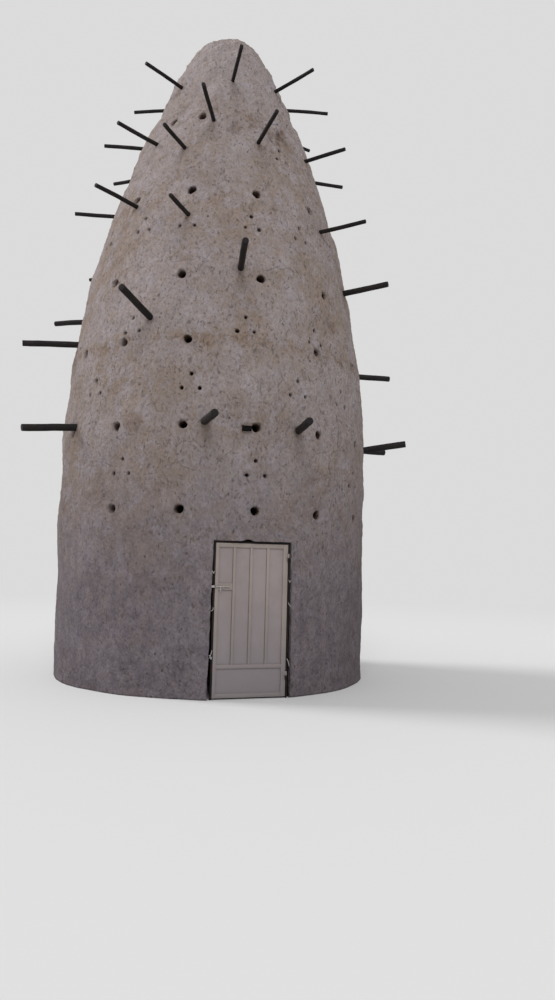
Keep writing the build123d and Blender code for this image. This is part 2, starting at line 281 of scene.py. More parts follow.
ENTRANCE_TIERS = [
    (2.45, around(15, 0, without=288)),
    (3.57, around(15, 0)),
    (4.76, around(15, 0, without=0)),
    (5.72, around(12, 2)),
    (7.09, around(12, 2)),
    (8.48, [-50, -29, 62, 92, 122, 152, 182, 212, 242, 276]),
]
VENT_TIERS = [
    (3.12, around(8, 0)),
    (4.275, [-60, -22, 15, 37, 73, 109, 145, 181, 217, 259]),
    (5.1, [-45, -4, 24, 60, 96, 132, 168, 204, 240, 278]),
    (6.68, [-48, -28, -1, 22, 46, 70, 94, 118, 142, 166, 190, 214, 238, 262, 287]),
    (8.05, [20, 56, 92, 128, 164, 200, 236, 272]),
]
# Scooped dents: bearing, height, width, depth
DENTS = [
    (-15.6, 9.96, 0.16, 0.022),
    (-22, 9.62, 0.13, 0.02),
    (41.8, 10.0, 0.15, 0.022),
    (150, 9.9, 0.16, 0.03),
    (2.5, 8.52, 0.11, 0.016),
    (29.1, 8.49, 0.11, 0.016),
    (-39.5, 3.46, 0.05, 0.012),
    (-19.4, 3.97, 0.05, 0.01),
    (-76.8, 2.45, 0.1, 0.012),
    (0, 4.76, 0.1, 0.006),
]
# Holes filled with browner mud: bearing, height, width
FILLED = [(2.5, 8.52, 0.09), (29.1, 8.49, 0.09), (-41.3, 3.62, 0.2), (-76.8, 2.45, 0.12)]
# Bent anchor wires: side, height, reach outwards, drop of the bend
WIRES = [
    (-1, 1.62, 0.032, -0.03),
    (-1, 1.15, 0.02, 0.01),
    (-1, 0.60, 0.028, 0.06),
    (-1, 0.52, 0.03, -0.05),
    (1, 1.52, 0.022, -0.02),
    (1, 1.22, 0.03, 0.02),
    (1, 0.48, 0.028, 0.06),
]
# Pieces of the wall: name, height of the top, starts of the CAD nodes' names
WALL_PIECES = [
    ("mud_wall_foot", 2.07, "base_"),
    ("mud_wall_lower", 4.52, ("lift_1", "lift_2")),
    ("mud_wall_middle", 7.56, ("lift_3", "lift_4")),
    ("mud_wall_upper", 99, ("lift_5", "crown", "cap")),
]
PERCH_TIERS = [n for n in sorted(NODES) if n.startswith("perches_tier_")]


def entrances():
    return [(b, h) for h, bearings in ENTRANCE_TIERS for b in bearings]


def vents():
    s = holes()
    offsets = ((0, 0), (-s.vent_spread, s.vent_rise), (s.vent_spread, s.vent_rise))
    return [
        (b + turn, h - drop)
        for h, bearings in VENT_TIERS
        for b in bearings
        for turn, drop in offsets
    ]


# Meshes

def mesh_of(bm, name):
    mesh = bpy.data.meshes.new(name)
    bm.to_mesh(mesh)
    bm.free()
    return mesh


def joined(*meshes):
    bm = bmesh.new()
    for mesh in meshes:
        bm.from_mesh(mesh)
    return bm


def closed(bm, name):
    """The mesh of a shape with its doubled corners merged and its faces turned outwards."""
    bmesh.ops.remove_doubles(bm, verts=bm.verts, dist=SAME_PLACE)
    bmesh.ops.recalc_face_normals(bm, faces=bm.faces)
    return mesh_of(bm, name)


def new_object(name, data):
    obj = bpy.data.objects.new(name, data)
    bpy.context.collection.objects.link(obj)
    return obj


def spun(bm, geom, turn, steps, **more):
    """Spins corners, edges or faces, round +Z unless another axis is given."""
    more = {"cent": (0, 0, 0), "axis": (0, 0, 1), **more}
    bmesh.ops.spin(bm, geom=geom, angle=turn, steps=steps, **more)


def laid(bm, place, way):
    """Turns a shape that lies along +Z to another way, and moves it to its place."""
    turn = way.to_track_quat("Z", "Y").to_matrix().to_4x4()
    bmesh.ops.transform(bm, matrix=Matrix.Translation(place) @ turn, verts=bm.verts)


def vectors(items, key):
    """One property of all the corners or faces of a mesh, as rows of three."""
    values = np.zeros(len(items) * 3)
    items.foreach_get(key, values)
    return values.reshape(-1, 3)


def add_layer(mesh, name, kind, domain, key, values):
    layer = mesh.attributes.new(name, kind, domain)
    layer.data.foreach_set(key, values.ravel())


def solids_of(node):
    """Corners of each separate solid in a CAD node."""
    bm = joined(NODES[node].data)
    bmesh.ops.remove_doubles(bm, verts=bm.verts, dist=SAME_PLACE)
    left = dict.fromkeys(bm.verts)
    solids = []
    while left:
        found = [left.popitem()[0]]
        for vert in found:
            for edge in vert.link_edges:
                other = edge.other_vert(vert)
                if other in left:
                    del left[other]
                    found.append(other)
        solids.append([v.co.copy() for v in found])
    bm.free()
    return solids


def pole_ends(node):
    """Inner end, outer end and radius of each pole in a tier, in a fixed order."""
    poles = []
    for corners in solids_of(node):
        corners.sort(key=lambda c: c.to_2d().length)
        half = len(corners) // 2
        inner = sum(corners[:half], Vector()) / half
        outer = sum(corners[half:], Vector()) / half
        radius = sum((c - inner).length for c in corners[:half]) / half
        poles.append((inner, outer, radius))
    return sorted(poles, key=lambda p: tuple(p[0]))


def pole_feet():
    """Bearing, height and radius of every pole where it leaves the wall."""
    feet = []
    for node in PERCH_TIERS:
        for inner, outer, radius in pole_ends(node):
            foot = inner + (outer - inner).normalized() * POLE_SEAT
            feet.append((degrees(np.arctan2(foot.x, -foot.y)), foot.z, radius))
    return feet


# Uneven surfaces

def rough(points, scale, octaves, shift=0.0):
    """Smooth fractal noise between about -1 and 1 at each point."""
    moved = (points * scale + shift).tolist()
    return np.array([noise.fractal(p, 1.0, 2.0, octaves) for p in moved])


def smooth_step(values, low, high):
    share = np.clip((values - low) / (high - low), 0, 1)
    return share * share * (3 - 2 * share)


def bump_at(points, bearing, height, width):
    """1 at a place on the wall, falling to 0 at about its width away."""
    turn = turn_from(bearing, bearings_of(points))
    away = (np.radians(turn) * radius_of(points)) ** 2 + (points[:, 2] - height) ** 2
    return np.exp(-away / (width / 2) ** 2)


def relief(points):
    """How far the plaster stands proud of the smooth outline at each point."""
    t = tower()
    height = points[:, 2]
    high = smooth_step(height, 6.5, 9.8)
    low = 1 - smooth_step(height, 1.6, 2.6)
    lumps = rough(points, 1.1, 2)
    dabs = rough(points * (1, 1, 0.75), 3.6, 2, 7.3)
    ridges = np.abs(rough(points, 5.2, 2, 3.1))
    grain = rough(points, 15.0, 2, 1.7)
    out = t.lump_height * lumps * (1 + 0.5 * high)
    out += t.dab_height * dabs * (1 + 0.9 * high) * (1 - 0.55 * low)
    out -= t.dab_height * 0.9 * ridges * (0.35 + 1.1 * high) * (1 - 0.7 * low)
    out += t.grain_height * grain * (1 + 0.8 * high) * (1 - 0.6 * low)
    turn = turn_from(-80, bearings_of(points))
    out += t.shoulder * np.exp(-((turn / 38) ** 2) - ((height - 2.85) / 0.85) ** 2)
    swell = smooth_step(height, 9.0, 10.0) * (1 - 0.7 * smooth_step(height, 10.2, 10.5))
    out += t.nose_swell * swell
    for bearing, place, width, depth in DENTS:
        out -= depth * bump_at(points, bearing, place, width)
    return out


def shaped(mesh):
    """Gives a mesh of the smooth wall its uneven faces, outside and inside."""
    points = vectors(mesh.vertices, "co")
    depth, way_out = wall_place(points)
    half = 0.5 * tower().wall
    outside = np.clip(1 - depth / half, 0, 1)
    inside = np.clip((depth - half) / half, 0, 1)
    move = np.zeros(len(points))
    face = outside > 0
    move[face] = relief(points[face]) * outside[face]
    back = inside > 0
    move[back] += 0.02 * rough(points[back], 2.2, 3, 11.0) * inside[back]
    by_door = np.exp(-(((np.abs(points[:, 0]) - 0.56) / 0.16) ** 2))
    by_door *= (points[:, 1] < 0) * (1 - smooth_step(points[:, 2], 2.1, 2.4))
    move += 0.022 * by_door * outside
    points = points + way_out * move[:, None]
    points[:, 2] = np.maximum(points[:, 2], 0)
    mesh.vertices.foreach_set("co", points.ravel())
    mesh.update()


def weather_and_shade(mesh, feet):
    """Writes run-off, fillings, rims of painted shade round hole mouths and pole feet, and raw mud
    to the mesh for its finish.
    """
    s = holes()
    points = vectors(mesh.vertices, "co")
    bearing = bearings_of(points)
    radius = radius_of(points)
    wander = rough(points, 4.0, 3, 5.5)
    runs, fills, rims = np.zeros((3, len(points)))
    sources = [(b, h, r * 2.0, 0.30, 0.9) for b, h, r in feet]
    sources += [(b, h, s.entrance_width * 0.7, 0.16, 0.4) for b, h in entrances()]
    sources += [(b, h, s.vent_width * 0.7, 0.08, 0.3) for b, h in vents()]
    for place, height, width, run, strength in sources:
        near = np.abs(height - points[:, 2] - run) < 3 * run
        aside = np.radians(turn_from(place, bearing[near])) * radius[near]
        below = height - points[near, 2]
        fade = np.exp(-np.maximum(below, 0) / run) * smooth_step(below, -0.03, 0.06)
        runs[near] += strength * fade * np.exp(-(((aside + 0.03 * wander[near]) / width) ** 2))
        # Painted shade: a dark ring where a pole meets the wall and just inside a hole's mouth.
        away = np.hypot(aside, below)
        rims[near] += np.exp(-(((away - width * 0.5) / (0.35 * width)) ** 2)) * strength
    for place, height, width in FILLED:
        fill = bump_at(points, place, height, width * 1.6) + 0.12 * wander
        fills += smooth_step(fill, 0.35, 0.6)
    raw = smooth_step(wall_place(points)[0], 0.02, 0.07)
    marks = np.column_stack([*np.clip((runs, fills, rims), 0, 1), raw]).astype(np.float32)
    add_layer(mesh, "marks", "FLOAT_COLOR", "POINT", "color", marks)


# Finishes

def linear(colour):
    """A colour as written on screen, as the light it stands for."""
    return tuple(c / 12.92 if c <= 0.04045 else ((c + 0.055) / 1.055) ** 2.4 for c in colour)


class Nodes:
    """The shader nodes of a material or a world."""

    def __init__(self, owner, output):
        owner.use_nodes = True
        self.tree = owner.node_tree
        self.tree.nodes.clear()
        self.output = self.add(output).inputs["Surface"]

    def add(self, kind, inputs=(), **settings):
        """Adds a node. Its inputs are given by name or number."""
        node = self.tree.nodes.new("ShaderNode" + kind)
        for key, value in settings.items():
            setattr(node, key, value)
        for key in inputs:
            self.put(node.inputs[key], inputs[key])
        return node

    def put(self, socket, value):
        if isinstance(value, bpy.types.NodeSocket):
            self.tree.links.new(value, socket)
        elif socket.type == "RGBA":
            socket.default_value = (*linear(value), 1)
        else:
            socket.default_value = value

    def maths(self, operation, result, *values):
        for value in values:
            node = self.add("Math", {0: result, 1: value}, operation=operation)
            result = node.outputs["Value"]
        return result

    times = partialmethod(maths, "MULTIPLY")
    total = partialmethod(maths, "ADD")
    largest = partialmethod(maths, "MAXIMUM")

    def looked_at(self):
        """1 for what is seen straight, in a reflection or through glass, 0 for plain light."""
        ray = self.add("LightPath").outputs
        return self.largest(*(ray[f"Is {k} Ray"] for k in ("Camera", "Glossy", "Transmission")))

    def mix(self, share, first, second):
        """Shows one shader, and over it a share of another."""
        inputs = {0: share, 1: first.outputs[0], 2: second.outputs[0]}
        self.put(self.output, self.add("MixShader", inputs).outputs[0])


class Finish(Nodes):
    """A surface finish, laid on in coats by the object's own coordinates."""

    def __init__(self, name, colour, shine=0.25):
        self.material = bpy.data.materials.new(name)
        super().__init__(self.material, "OutputMaterial")
        self.colour = colour
        self.shader = self.add("BsdfPrincipled", {"Specular IOR Level": shine})
        self.put(self.output, self.shader.outputs["BSDF"])
        self.space = self.add("TexCoord").outputs["Object"]

    def attribute(self, name):
        return self.add("Attribute", attribute_name=name).outputs

    def height(self):
        return self.add("SeparateXYZ", {0: self.space}).outputs["Z"]

    def channels(self, colour):
        """Red, green and blue of a colour."""
        return self.add("SeparateColor", {"Color": colour}).outputs

    def placed(self, scale=None, shift=None, space=None):
        """Coordinates for a pattern, scaled and shifted if need be."""
        inputs = {"Vector": space or self.space}
        if not scale and not shift:
            return inputs["Vector"]
        inputs |= {"Scale": scale or (1, 1, 1), "Location": shift or (0, 0, 0)}
        return self.add("Mapping", inputs).outputs["Vector"]

    def noise(self, scale, detail=3, roughness=0.6, *place, space=None, output="Fac"):
        inputs = {"Vector": self.placed(*place, space=space), "Scale": scale}
        inputs |= {"Detail": detail, "Roughness": roughness}
        return self.add("TexNoise", inputs).outputs[output]

    def cells(self, scale, space, feature="F1"):
        return self.add("TexVoronoi", {"Vector": space, "Scale": scale}, feature=feature).outputs

    def between(self, value, low, high, start=0.0, end=1.0):
        """Goes smoothly from start to end as the value goes from low to high."""
        keys = ("Value", "From Min", "From Max", "To Min", "To Max")
        inputs = dict(zip(keys, (value, low, high, start, end)))
        return self.add("MapRange", inputs, interpolation_type="SMOOTHSTEP").outputs["Result"]

    def blend(self, share, first, second, mode="MIX"):
        inputs = {0: share, 6: first, 7: second}
        return self.add("Mix", inputs, data_type="RGBA", blend_type=mode).outputs[2]

    def coat(self, colour, *shares, mode="MIX"):
        """Lays a colour over the coats so far, by the product of its shares."""
        self.colour = self.blend(self.times(*shares), self.colour, colour, mode)

    def warped(self, scale, amount):
        """The object's coordinates, pushed about by noise."""
        push = self.noise(scale, 2, 0.5, output="Color")
        for operation, key, value in (
            ("SUBTRACT", 1, (0.5, 0.5, 0.5)), ("SCALE", "Scale", amount), ("ADD", 1, self.space)
        ):
            push = self.add("VectorMath", {0: push, key: value}, operation=operation).outputs[0]
        return push

    def bump(self, *heights):
        """Raises the surface by heights in metres, each one the product of its values."""
        height = self.total(*(self.times(*values) for values in heights))
        inputs = {"Height": height, "Distance": 1.0, "Strength": 1.0}
        self.put(self.shader.inputs["Normal"], self.add("Bump", inputs).outputs["Normal"])

    def done(self, roughness):
        self.put(self.shader.inputs["Base Color"], self.colour)
        self.put(self.shader.inputs["Roughness"], roughness)
        return self.material


def plaster_finish(name):
    """Dabbed mud: smears, freckles, straw marks, pits, cracks and stains."""
    c = colours()
    f = Finish(name, c.plaster, 0.08)
    marks = f.attribute("marks")
    runs, fills, rims = f.channels(marks["Color"])
    height = f.height()
    smear = f.noise(4.6, 4, 0.6, (1, 1, 0.8), (4, 2, 9))
    mottle = f.noise(7.5, 4, 0.6, (1, 1, 0.7))
    blotch = f.noise(2.7, 5, 0.65, None, (7, 1, 3))
    speck = f.noise(42, 3, 0.6, (1, 1, 0.6))
    wander = f.noise(1.3, 3, 0.5, None, (2, 8, 5))
    daubs = f.noise(24, 3, 0.55, (1, 1, 0.7), (5, 5, 5))
    streaks = f.noise(34, 3, 0.6, (1, 1, 0.75))
    patch = f.noise(11, 3, 0.6, (1, 1, 0.8), (9, 4, 1))

    calm = f.between(height, 7.2, 8.8, 1, 0.55)
    f.coat(c.plaster_warm, f.between(f.noise(0.9, 5), 0.42, 0.62), calm)
    f.coat(c.plaster_lilac, f.between(smear, 0.49, 0.62, 0, 0.75))
    patches = f.times(f.between(blotch, 0.52, 0.66), f.between(mottle, 0.4, 0.62))
    f.coat(c.ochre, patches, f.between(height, 7.6, 9.0, 0.42, 0.15))
    f.coat(c.ochre, f.between(daubs, 0.36, 0.52, 0.34, 0), calm)
    level = f.total(height, f.times(wander, 1.6), f.times(blotch, 0.5))
    low = f.between(level, 1.7, 5.0, 1, 0)
    f.coat(c.plaster_low, low, f.between(mottle, 0.35, 0.65, 0.86, 0.68))

    bent = f.warped(3.5, 0.2)
    sparse = f.between(f.noise(3.1, 2, 0.5, None, (1, 6, 2)), 0.35, 0.6, 0, 0.05)
    strokes = f.total(f.noise(25, 3, 0.55, (1, 1, 0.55), space=bent), sparse)
    stroke = f.between(strokes, 0.59, 0.74)
    nick = f.between(f.noise(52, 3, 0.6, (0.6, 0.6, 1), (3, 3, 3), space=bent), 0.56, 0.72)
    pits = f.cells(11, f.placed((1, 1, 0.7)))
    some = f.between(f.channels(pits["Color"])[0], 0.7, 0.8)
    pit = f.times(f.between(pits["Distance"], 0.08, 0.17, 1, 0), some)
    edge = f.cells(0.85, f.warped(2.6, 0.5), "DISTANCE_TO_EDGE")["Distance"]
    crack = f.times(f.between(edge, 0.002, 0.009, 1, 0), f.between(wander, 0.52, 0.6))
    edge = f.cells(3.4, f.warped(6, 0.2), "DISTANCE_TO_EDGE")["Distance"]
    crazing = f.times(f.between(edge, 0.004, 0.022, 1, 0), f.between(blotch, 0.5, 0.62))
    off_seam = f.maths("ABSOLUTE", f.total(height, f.times(blotch, 0.5), -5.03), 0)
    seam = f.times(f.between(off_seam, 0.006, 0.03, 1, 0), f.between(mottle, 0.45, 0.6))
    band = f.times(f.between(off_seam, 0.02, 0.16, 1, 0), f.between(mottle, 0.44, 0.58))
    # Painted shade in the pits, the cracks, the seam and the crazing.
    dark = f.largest(
        f.times(pit, 0.9), f.times(f.largest(crack, seam), 0.45), f.times(crazing, 0.22)
    )
    # Strokes and nicks: straw marks, and painted shade in the plaster's small hollows.
    marked = f.total(f.times(stroke, 0.58), f.times(nick, 0.26))
    f.coat(c.ochre, runs, 0.55)
    f.coat(c.raw_mud, fills, 0.35)
    # Painted shade on the rims round hole mouths and pole feet.
    f.coat(c.pit, rims, 0.35, speck)
    f.coat(c.ochre, band, 0.55)
    f.coat(c.mark, marked, f.between(height, 8.4, 9.6, 1, 0.8))
    f.coat(c.pit, dark, 0.55)
    # Raw mud inside the wall, mottled with the painted shade of the pits.
    f.coat(f.blend(f.between(mottle, 0.35, 0.65), c.raw_mud, c.pit), marks["Alpha"])

    value = f.total(
        f.between(mottle, 0.3, 0.7, 0.91, 1.07),
        f.between(speck, 0.3, 0.7, -0.09, 0.09),
        f.times(low, f.between(streaks, 0.3, 0.7, -0.10, 0.10)),
        f.times(low, f.between(patch, 0.3, 0.7, -0.04, 0.04)),
        f.between(height, 0.0, 0.7, -0.09, 0.0),
    )
    # Painted light and shade: the plaster is darkened towards the foot and lightened towards the
    # tip.
    painted_light_by_height = f.total(f.between(height, 1.5, 6.0, 0.85, 1.0), f.between(height, 5.4, 9.4, 0, 0.06))
    f.coat(f.times(value, painted_light_by_height), 1.0, mode="MULTIPLY")

    upper = f.between(low, 0, 1, 1, 0.8)
    f.bump(
        (f.noise(9, 4), upper, 0.034),
        (daubs, upper, 0.028),
        (speck, 0.020),
        (streaks, low, 0.010),
        (stroke, -0.006),
        (pit, -0.010),
        (nick, -0.002),
        (crack, -0.004),
        (seam, -0.004),
    )
    return f.done(f.between(mottle, 0.3, 0.7, 0.9, 1.0))


def timber_finish(name, share):
    """Dark timber, with its colours taken down to a share of what they are."""
    c = colours()
    dark, pale = ([v * share for v in colour] for colour in (c.timber, c.timber_light))
    f = Finish(name, dark, 0.25 * share)
    grain = f.attribute("grain")["Vector"]
    fibres = f.noise(60, 4, 0.6, (1, 1, 0.06), space=grain)
    checks = f.noise(110, 2, 0.5, (1, 1, 0.03), space=grain)
    f.coat(pale, f.between(fibres, 0.35, 0.7))
    f.coat(dark, f.between(f.noise(4, 4), 0.38, 0.6, 0.85, 0.25))
    # Painted shade in the checks of the timber.
    f.coat((0.05, 0.04, 0.04), f.between(checks, 0.62, 0.7, 0, 0.7))
    f.bump((fibres, 0.004), (f.between(checks, 0.6, 0.7), -0.003))
    return f.done(f.between(fibres, 0.3, 0.7, 0.6, 0.85))


def paint_finish(name, colour, dustiness):
    """Paint with chalky patches, dust towards the foot and a few chips."""
    c = colours()
    paint = getattr(c, colour)
    f = Finish(name, paint, 0.4)
    broad = f.noise(2.2, 4, 0.55)
    streak = f.noise(16, 3, 0.6, (1, 1, 0.12))
    fine = f.noise(120)
    f.coat([min(1, v * 1.06) for v in paint], f.between(broad, 0.4, 0.62))
    dust = f.total(f.height(), f.times(streak, 0.5))
    f.coat(c.door_dust, f.between(dust, 0.15, 1.9, dustiness, 0.0))
    f.coat(c.door_dust, f.between(streak, 0.55, 0.75, 0, 0.25))
    f.coat(c.rust, f.between(fine, 0.69, 0.72), f.between(broad, 0.6, 0.7, 0, 0.6))
    f.bump((fine, 0.0006), (broad, 0.004))
    return f.done(f.between(streak, 0.3, 0.7, 0.42, 0.6))


def frame_finish(name):
    """Old dark steel, near-black as painted shade of the gap round the leaf, with rust and a
    little dust.
    """
    c = colours()
    f = Finish(name, c.frame_steel)
    fine = f.noise(90)
    f.coat(c.rust, f.between(f.noise(7, 4), 0.5, 0.75, 0, 0.5))
    f.coat(c.door_dust, f.between(fine, 0.58, 0.72, 0, 0.12))
    f.bump((fine, 0.001))
    return f.done(f.between(fine, 0.3, 0.7, 0.6, 0.85))


def zinc_finish(name):
    """Spangled zinc with a few rusty places."""
    c = colours()
    f = Finish(name, c.zinc)
    broad = f.noise(14, 4)
    spangle = f.channels(f.cells(60, f.space)["Color"])[0]
    f.coat([v * 0.9 for v in c.zinc], spangle, 0.5)
    f.coat(c.rust, f.between(broad, 0.62, 0.74, 0, 0.4))
    f.put(f.shader.inputs["Metallic"], 0.1)
    f.bump((broad, 0.0015))
    return f.done(f.between(broad, 0.3, 0.7, 0.42, 0.62))


# Each finish: its slot, its maker and what the maker is told
FINISHES = {
    "dry_mud": ("mud_plaster", plaster_finish),
    "perch_timber": ("timber", timber_finish, 1),
    "end_timber": ("timber", timber_finish, 0.4),
    "cream_paint": ("door_paint", paint_finish, "door_paint", 0.85),
    "sheet_paint": ("door_paint", paint_finish, "sheet_paint", 0.95),
    # Painted shadow: the finish of the dark strips beside the battens.
    "joint_dirt": ("door_paint", paint_finish, "joint", 0.3),
    "dark_steel": ("frame_steel", frame_finish),
    "zinc_steel": ("bolt_steel", zinc_finish),
}


def piece_of(bm, name, finish, body, *nodes, crisp=True):
    """Makes a finished piece that stands for CAD nodes and rides on their body."""
    slot, maker, *told = FINISHES[finish]
    mesh = mesh_of(bm, name)
    mesh.materials.append(bpy.data.materials.get(finish) or maker(finish, *told))
    mesh.shade_smooth()
    obj = new_object(name, mesh)
    if nodes:
        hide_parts(*nodes)
    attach(obj, body)
    if crisp:
        mesh.set_sharp_from_angle(angle=CRISP)
    return mesh


# The wall

def topmost(bm):
    return max(bm.verts, key=lambda v: v.co.z)


def half_outline(depth, pitch):
    """One face of the wall as a line from the ground to the tip, at a depth inside the outer."""
    t = tower()
    slope = tangent_slope()
    bm = bmesh.new()
    foot = bm.verts.new((t.base_radius - depth, 0, 0))
    line = bmesh.ops.extrude_vert_indiv(bm, verts=[foot])
    line["verts"][0].co.z = t.upright_height
    rows = round(t.upright_height / pitch)
    bmesh.ops.subdivide_edges(bm, edges=line["edges"], cuts=rows - 1)
    for centre_x, centre_z, turn, radius in (
        (t.base_radius - t.belly_radius, t.upright_height, slope, t.belly_radius),
        (0, nose_centre(), pi / 2 - slope, t.nose_radius),
    ):
        steps = round(turn * radius / pitch)
        spun(bm, [topmost(bm)], turn, steps, cent=(centre_x, 0, centre_z), axis=(0, -1, 0))
    bmesh.ops.remove_doubles(bm, verts=bm.verts, dist=SAME_PLACE)
    topmost(bm).co.x = 0
    return mesh_of(bm, "half_outline")


def smooth_wall():
    """The hollow wall before its holes are cut: one wedge, and copies of it all round."""
    t = tower()
    bm = joined(half_outline(0, t.pitch), half_outline(t.wall, t.inner_pitch))
    bm.edges.new([v for v in bm.verts if v.co.z < 1e-6])
    wedge = 2 * pi / t.wedges
    spun(bm, bm.verts[:] + bm.edges[:], wedge, t.columns // t.wedges)
    first = bm.verts[:] + bm.edges[:] + bm.faces[:]
    spun(bm, first, 2 * pi - wedge, t.wedges - 1, use_duplicate=True)
    return closed(bm, "smooth_wall")


def hole_shape(sides, rings):
    """A plug turned round +Z: each ring has a radius and a place along the hole."""
    bm = bmesh.new()
    line = [bm.verts.new((radius, 0, place)) for radius, place in rings]
    edges = [bm.edges.new(pair) for pair in zip(line, line[1:])]
    spun(bm, line + edges, 2 * pi, sides, use_merge=True)
    return closed(bm, "hole_shape")


def place_hole(bm, shape, bearing, height, unevenness, seed):
    """Adds one plug to the tool, a little out of round, with its mouth along the wall's lean."""
    known = len(bm.verts)
    bm.from_mesh(shape)
    bm.verts.ensure_lookup_table()
    new = bm.verts[known:]
    lean = tan(wall_lean(height))
    for vert in new:
        swell = 1 + unevenness * noise.noise((vert.co.x * 14, vert.co.y * 14, seed * 3.7))
        vert.co.x *= swell
        vert.co.y *= swell
        near_mouth = max(0.0, min(1.0, 1 + vert.co.z / MOUTH))
        vert.co.z -= vert.co.y * lean * near_mouth
    bmesh.ops.transform(bm, matrix=outward(bearing, wall_radius(height), height), verts=new)


def doorway_shape():
    """The ragged doorway: straight jambs that spread towards the ground."""
    d = door()
    bm = bmesh.new()
    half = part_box("leaf_frame")[1].x + d.frame_gap + d.jamb_width
    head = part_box("door_frame")[1].z + d.head_gap
    bmesh.ops.create_cube(bm, size=1)
    bmesh.ops.subdivide_edges(bm, edges=bm.edges[:], cuts=23, use_grid_fill=True)
    for vert in bm.verts:
        x, y, z = vert.co
        share = z + 0.5
        spread = half + d.masonry_gap_base + (d.masonry_gap_head - d.masonry_gap_base) * share
        vert.co = (2 * x * spread, -tower().base_radius + 0.15 + y, -0.02 + share * (head + 0.02))
        near_face = max(0.0, min(1.0, (-vert.co.y - 2.22) / 0.12)) ** 2
        ragged = 0.010 * noise.noise(vert.co * 9) + 0.007 * noise.noise(vert.co * 31)
        ragged = max(ragged, -0.006)
        if abs(x) > 0.499:
            vert.co.x += (1 if x > 0 else -1) * (ragged + 0.006 * near_face)
        if z > 0.499:
            broken = 0.020 * max(0.0, 1 - ((vert.co.x + 0.065) / 0.075) ** 2)
            vert.co.z += ragged * 0.8 + broken + 0.004 * near_face
    return mesh_of(bm, "doorway")


def hole_tool():
    """Everything that is cut out of the wall, as one mesh."""
    s = holes()
    far = -tower().wall - PLUG_PAST
    r, v = s.entrance_width / 2, s.vent_width / 2
    entrance = hole_shape(14, [
        (0, far), (r * 0.96, far), (r * 0.97, -0.2), (r, -0.06),
        (r + 0.25 * s.lip, -0.03), (r + 0.6 * s.lip, -0.012), (r + 1.2 * s.lip, 0.002),
        (r + 1.9 * s.lip, 0.03), (0, 0.03),
    ])
    vent = hole_shape(8, [
        (0, far), (v * 0.9, far), (v, -0.05), (v * 1.2, -0.015), (v * 1.6, 0.004),
        (v * 1.8, 0.03), (0, 0.03),
    ])
    bm = bmesh.new()
    for i, (bearing, height) in enumerate(entrances()):
        place_hole(bm, entrance, bearing, height, 0.28, i)
    for i, (bearing, height) in enumerate(vents()):
        place_hole(bm, vent, bearing, height, 0.5, 200 + i)
    bm.from_mesh(doorway_shape())
    bmesh.ops.recalc_face_normals(bm, faces=bm.faces)
    return mesh_of(bm, "hole_tool")


def cut(mesh, tool):
    """The mesh less the tool, as a new mesh."""
    body, plug = new_object("uncut", mesh), new_object("plug", tool)
    modifier = body.modifiers.new("cut", "BOOLEAN")
    modifier.solver = "MANIFOLD"
    modifier.operation = "DIFFERENCE"
    modifier.object = plug
    evaluated = body.evaluated_get(bpy.context.evaluated_depsgraph_get())
    result = bpy.data.meshes.new_from_object(evaluated)
    for obj in (body, plug):
        bpy.data.objects.remove(obj)
    if len(result.polygons) <= len(mesh.polygons):
        raise RuntimeError("the holes were not cut")
    return result


def band_of(whole, index):
    """One level of the wall as a shape of its own."""
    bm = joined(whole)
    band = bm.faces.layers.int["band"]
    away = [f for f in bm.faces if f[band] != index]
    bmesh.ops.delete(bm, geom=away, context="FACES")
    return bm


def match_seams(mesh):
    """Shades the edge of a level as if the wall went on, so that no seam shows."""
    facing = vectors(mesh.attributes["facing"].data, "vector")
    mesh.normals_split_custom_set_from_vertices(facing.tolist())
    mesh.attributes.remove(mesh.attributes["facing"])
    mesh.attributes.remove(mesh.attributes["band"])


class TOWER_OT_mud_wall(Operator):
    """Make the hollow mud wall with its entrances, vents and doorway"""

    bl_idname = "tower.mud_wall"
    bl_label = "Mud wall"

    def execute(self, context):
        whole = cut(smooth_wall(), hole_tool())
        levels = vectors(whole.polygons, "center")[:, 2]
        band = np.searchsorted([top for name, top, nodes in WALL_PIECES], levels)
        add_layer(whole, "band", "INT", "FACE", "value", band.astype(np.int32))
        shaped(whole)
        facing = vectors(whole.vertices, "normal")
        add_layer(whole, "facing", "FLOAT_VECTOR", "POINT", "vector", facing)
        weather_and_shade(whole, pole_feet())
        for i, (name, top, starts) in enumerate(WALL_PIECES):
            nodes = [n for n in NODES if n.startswith(starts)]
            match_seams(piece_of(band_of(whole, i), name, "dry_mud", "tower", *nodes, crisp=False))
        bpy.data.meshes.remove(whole)
        return {"FINISHED"}


# Timber

